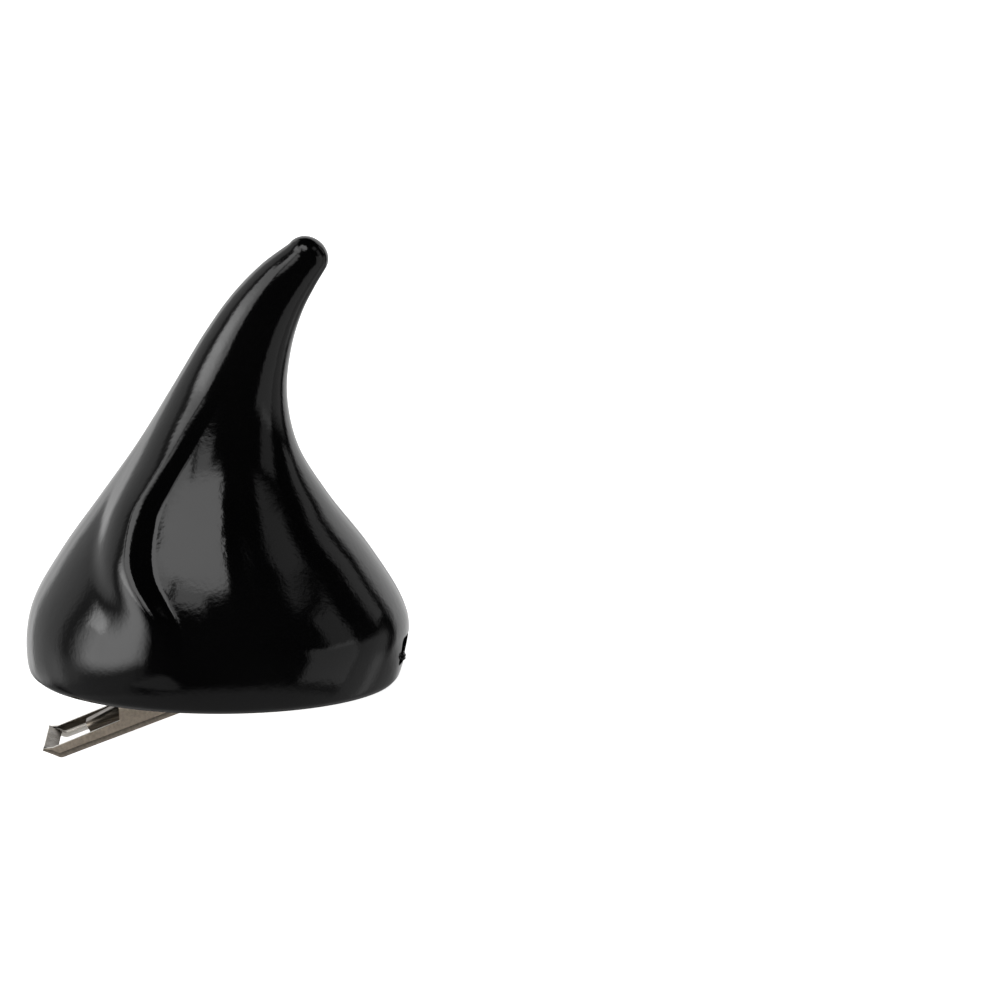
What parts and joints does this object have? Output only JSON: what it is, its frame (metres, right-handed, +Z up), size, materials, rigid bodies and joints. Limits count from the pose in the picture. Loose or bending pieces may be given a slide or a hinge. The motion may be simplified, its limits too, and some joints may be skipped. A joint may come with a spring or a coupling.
{
  "type": "clip-on costume horn",
  "caption": "Hollow glossy black costume horn, curved, with a fold down each side and a sprung metal hair clip set in a recess under its rim; it stands on the clip's nose and the rim.",
  "frame": {"origin": "middle of the part's footprint on the surface that it rests on", "axes": "+Z up as the part rests, +X to the inner side that the horn curves to, +Y across the horn, away from the viewer"},
  "size_m": [0.0458, 0.0458, 0.0544],
  "materials": {
    "horn_plastic": "moulded gloss black with a slight orange peel",
    "clip_nickel": "nickel plated sheet steel with fine drawn grain",
    "spring_steel": "drawn spring wire"
  },
  "bodies": {
    "horn": {"horn_shell": "horn_plastic", "clip_arm": "clip_nickel", "clip_pin": "clip_nickel", "clip_spring": "spring_steel"},
    "jaw": {"clip_jaw": "clip_nickel"}
  },
  "joints": [
    {"name": "jaw_open", "type": "hinge", "parent": "horn", "child": "jaw", "pos_m": [0.00424, 0, 0.00629], "axis": [0, -1, 0], "range_deg": [0, 18], "stiffness_Nm_per_rad": 0.06, "springref_deg": -34.38, "deforming": ["clip_spring"]}
  ]
}
